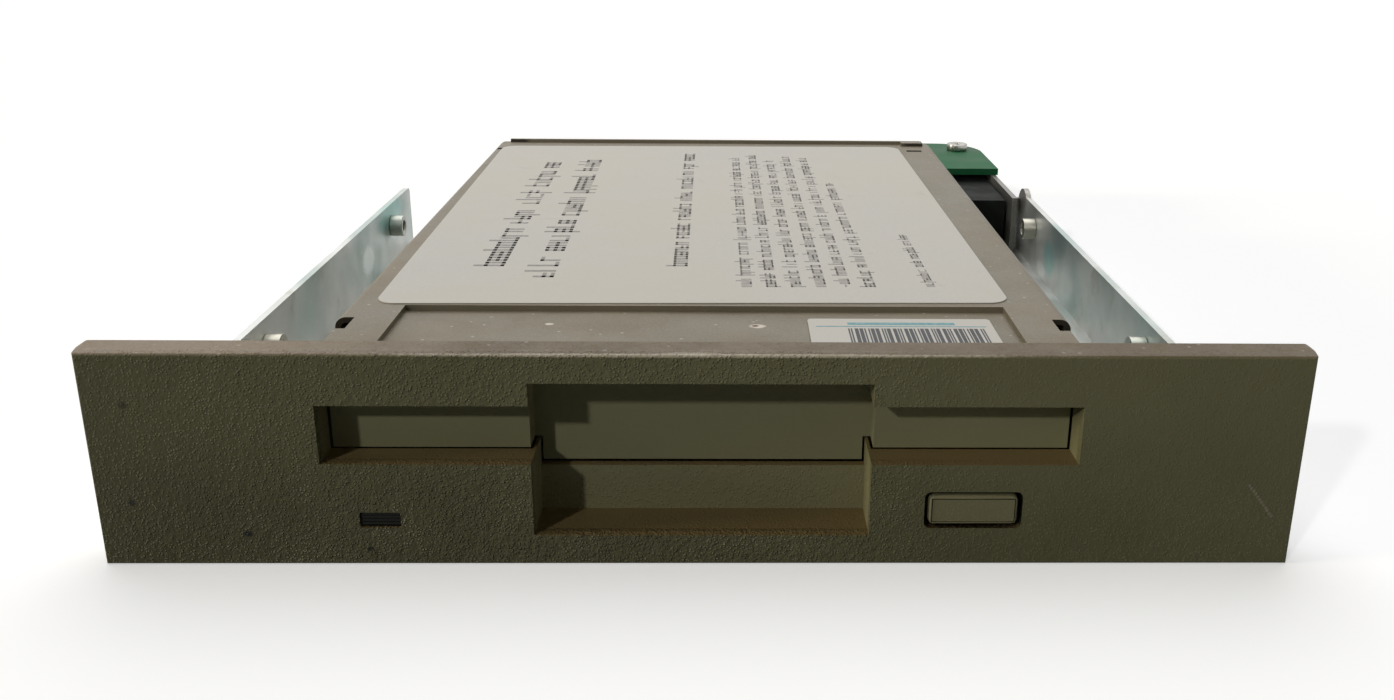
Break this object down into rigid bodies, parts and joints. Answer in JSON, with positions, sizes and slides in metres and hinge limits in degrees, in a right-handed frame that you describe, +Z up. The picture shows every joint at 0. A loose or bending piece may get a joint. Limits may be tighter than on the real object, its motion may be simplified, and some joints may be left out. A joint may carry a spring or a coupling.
{
  "type": "floppy disk drive",
  "caption": "Floppy disk drive for 90 mm disks in a wide bezel with side brackets: dust flap, eject slide, disk holder, spindle and stepped heads.",
  "frame": {"origin": "bottom centre of the whole object's box, on the plane that the brackets and the bezel stand on", "axes": "+X to the right seen from the front, +Y from the bezel to the rear, +Z up"},
  "size_m": [0.1516, 0.2032, 0.0282],
  "materials": {
    "bezel_plastic": "fine moulded grain",
    "smoked_lens": "smooth",
    "led_epoxy": "clear moulded",
    "cover_steel": "satin rolled sheet",
    "label_paper": "coated paper",
    "zinc_steel": "zinc plated sheet",
    "sheet_steel": "plated sheet",
    "screw_steel": "bright zinc",
    "spring_steel": "drawn wire",
    "white_nylon": "moulded",
    "board_green": "solder mask",
    "copper_wire": "enamelled",
    "bronze": "sintered",
    "motor_steel": "turned",
    "black_plastic": "moulded",
    "ferrite": "polished",
    "polyimide": "film"
  },
  "bodies": {
    "frame": {"bezel": "bezel_plastic", "led_lens": "smoked_lens", "activity_led": "led_epoxy", "top_cover": "cover_steel", "cover_label": "label_paper", "barcode_label": "label_paper", "left_bracket": "zinc_steel", "right_bracket": "zinc_steel", "chassis": "sheet_steel", "rod_clamps": "sheet_steel", "cover_screws": "screw_steel", "bracket_screws": "screw_steel", "board_screws": "screw_steel", "adapter_screws": "screw_steel", "left_press_nuts": "screw_steel", "right_press_nuts": "screw_steel", "flap_spring": "spring_steel", "left_slide_spring": "spring_steel", "right_slide_spring": "spring_steel", "latch_spring": "spring_steel", "guide_rods": "spring_steel", "latch_pivot": "spring_steel", "power_connector": "white_nylon", "motor_board": "board_green", "logic_board": "board_green", "adapter_board": "board_green", "motor_coils": "copper_wire", "spindle_bearing": "bronze", "stepper_motor": "motor_steel", "logic_chips": "black_plastic", "data_connector": "black_plastic", "switch_block": "black_plastic", "track_sensor": "black_plastic", "index_sensor": "black_plastic", "screw_bearing": "black_plastic", "adapter_socket": "black_plastic", "adapter_header": "black_plastic", "adapter_power_inlet": "black_plastic", "head_flex_cable": "polyimide"},
    "flap": {"slot_flap": "bezel_plastic"},
    "ejector": {"slide_plate": "sheet_steel", "eject_button": "bezel_plastic"},
    "holder": {"disk_holder": "sheet_steel"},
    "latch": {"latch_lever": "white_nylon"},
    "spindle": {"rotor": "motor_steel", "spindle_hub": "motor_steel", "drive_pin": "motor_steel"},
    "carriage": {"head_carriage": "black_plastic", "lower_head": "ferrite", "follower_pin": "spring_steel", "arm_hinge_pin": "spring_steel", "arm_spring": "spring_steel"},
    "arm": {"head_arm": "black_plastic", "upper_head": "ferrite"},
    "screw": {"lead_screw": "motor_steel"},
    "protect_switch": {"protect_plunger": "white_nylon"},
    "density_switch": {"density_plunger": "white_nylon"},
    "presence_switch": {"presence_plunger": "white_nylon"}
  },
  "joints": [
    {"name": "flap_swing", "type": "hinge", "parent": "frame", "child": "flap", "pos_m": [0, -0.093, 0.0216], "axis": [1, 0, 0], "range_deg": [0, 90], "stiffness_Nm_per_rad": 0.002},
    {"name": "eject_slide", "type": "slide", "parent": "frame", "child": "ejector", "axis": [0, -1, 0], "range_m": [0, 0.006]},
    {"name": "holder_drop", "type": "slide", "parent": "frame", "child": "holder", "axis": [0, 0, -1], "range_m": [0, 0.0025]},
    {"name": "head_arm_drop", "type": "hinge", "parent": "carriage", "child": "arm", "pos_m": [0, 0.0259, 0.01645], "axis": [1, 0, 0], "range_deg": [0, 12]},
    {"name": "carriage_step", "type": "slide", "parent": "frame", "child": "carriage", "axis": [0, -1, 0], "range_m": [0, 0.0148]},
    {"name": "lead_screw_turn", "type": "hinge", "parent": "frame", "child": "screw", "pos_m": [-0.024, 0.0244, 0.0149], "axis": [0, 1, 0], "range_deg": [0, 1421]},
    {"name": "latch_swing", "type": "hinge", "parent": "frame", "child": "latch", "pos_m": [-0.043, 0.0144, 0.0097], "axis": [0, 0, 1], "range_deg": [0, 25], "stiffness_Nm_per_rad": 0.002},
    {"name": "spindle_turn", "type": "hinge", "parent": "frame", "child": "spindle", "pos_m": [0, -0.0376, 0.01], "axis": [0, 0, 1], "continuous": true},
    {"name": "protect_press", "type": "slide", "parent": "frame", "child": "protect_switch", "axis": [0, 0, -1], "range_m": [0, 0.002], "stiffness_N_per_m": 60},
    {"name": "density_press", "type": "slide", "parent": "frame", "child": "density_switch", "axis": [0, 0, -1], "range_m": [0, 0.002], "stiffness_N_per_m": 60},
    {"name": "presence_press", "type": "slide", "parent": "frame", "child": "presence_switch", "axis": [0, 0, -1], "range_m": [0, 0.002], "stiffness_N_per_m": 60}
  ],
  "couplings": [
    {"joint": "holder_drop", "follows": "eject_slide", "ratio": 0.41666},
    {"joint": "head_arm_drop", "follows": "eject_slide", "rad_per_m": 34.902},
    {"joint": "lead_screw_turn", "follows": "carriage_step", "rad_per_m": 1675.5}
  ]
}
